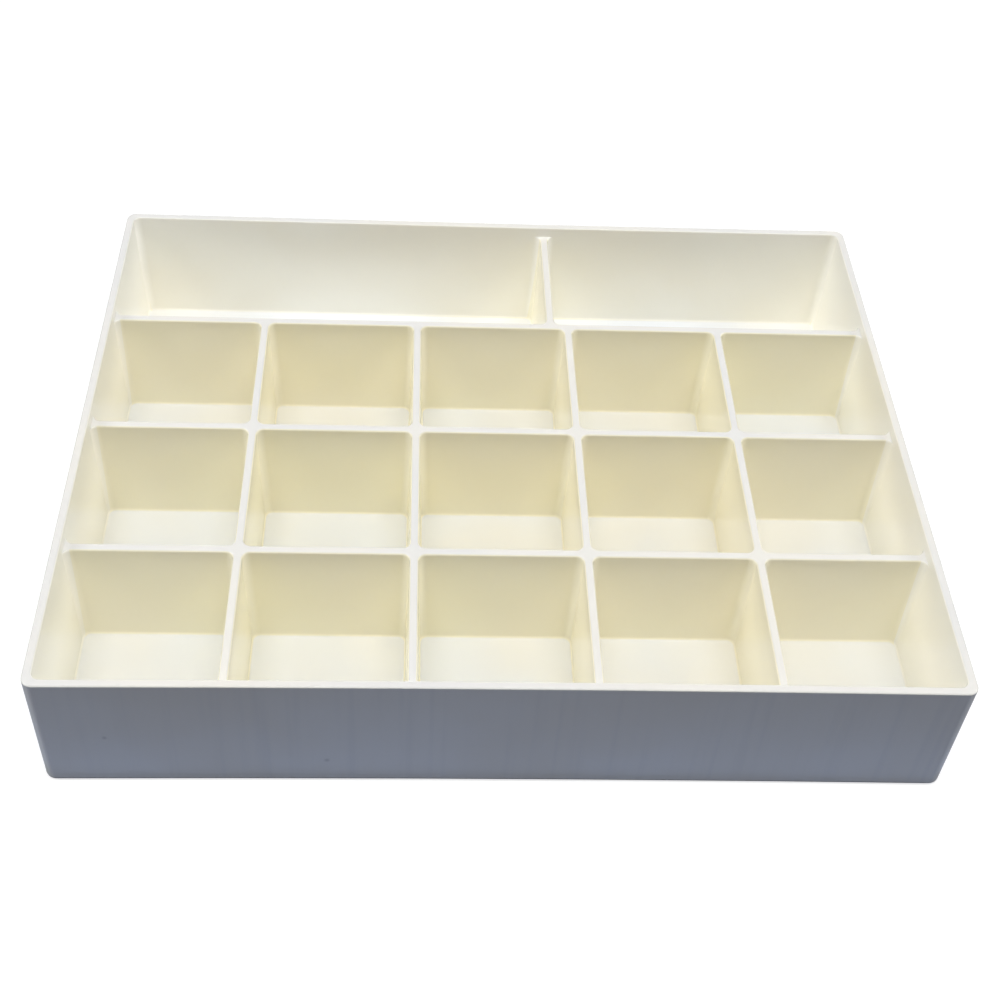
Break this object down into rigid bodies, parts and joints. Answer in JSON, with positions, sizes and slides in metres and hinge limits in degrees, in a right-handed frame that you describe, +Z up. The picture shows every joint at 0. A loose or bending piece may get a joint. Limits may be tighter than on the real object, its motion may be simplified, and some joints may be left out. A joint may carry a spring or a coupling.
{
  "type": "essential oil organizer tray",
  "caption": "Shallow moulded tray with drafted walls: rows of square compartments for small oil bottles, and longer compartments along the rear wall.",
  "frame": {"origin": "middle of the underside, which rests on the shelf or table", "axes": "+X along the long side to the right, +Y towards the rear wall with its long compartments, +Z up out of the compartments"},
  "size_m": [0.2004, 0.1608, 0.0348],
  "materials": {
    "ivory_plastic": "moulded, glossy"
  },
  "bodies": {
    "root": {"organizer_tray": "ivory_plastic"}
  },
  "joints": []
}
